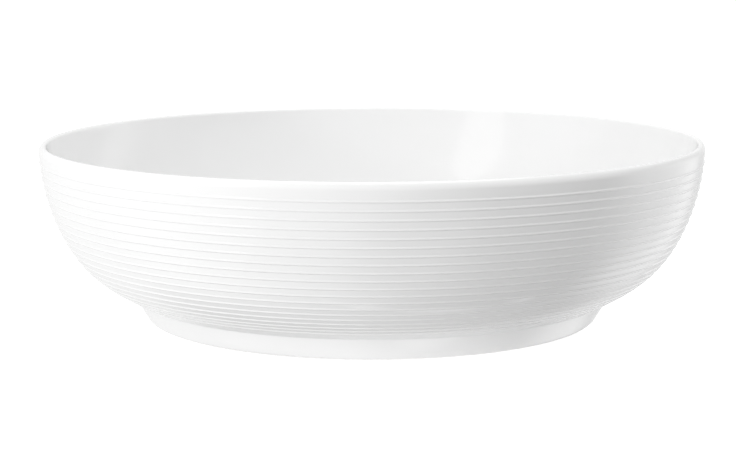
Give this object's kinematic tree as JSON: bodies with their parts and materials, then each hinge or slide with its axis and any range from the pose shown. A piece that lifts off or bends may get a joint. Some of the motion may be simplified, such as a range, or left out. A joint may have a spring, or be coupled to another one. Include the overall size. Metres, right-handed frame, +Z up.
{
  "type": "serving bowl",
  "caption": "Wide white porcelain serving bowl with fine raised rings outside, a smooth inside, a rounded lip and a plain foot ring.",
  "frame": {"origin": "on the table, at the bowl's axis: the middle of the foot ring's bearing face", "axes": "+Z up along the bowl's axis, from the foot to the mouth; the bowl is round, so X and Y are free"},
  "size_m": [0.28, 0.28, 0.0749],
  "materials": {
    "bare_porcelain": "fired white porcelain, unglazed and satin to the touch, seen only on the foot's bearing edge",
    "white_glaze": "clear gloss glaze over white porcelain, smooth, a little softened over the raised rings"
  },
  "bodies": {
    "root": {"porcelain_body": "bare_porcelain", "glaze_coat": "white_glaze", "well_glaze": "white_glaze"}
  },
  "joints": []
}
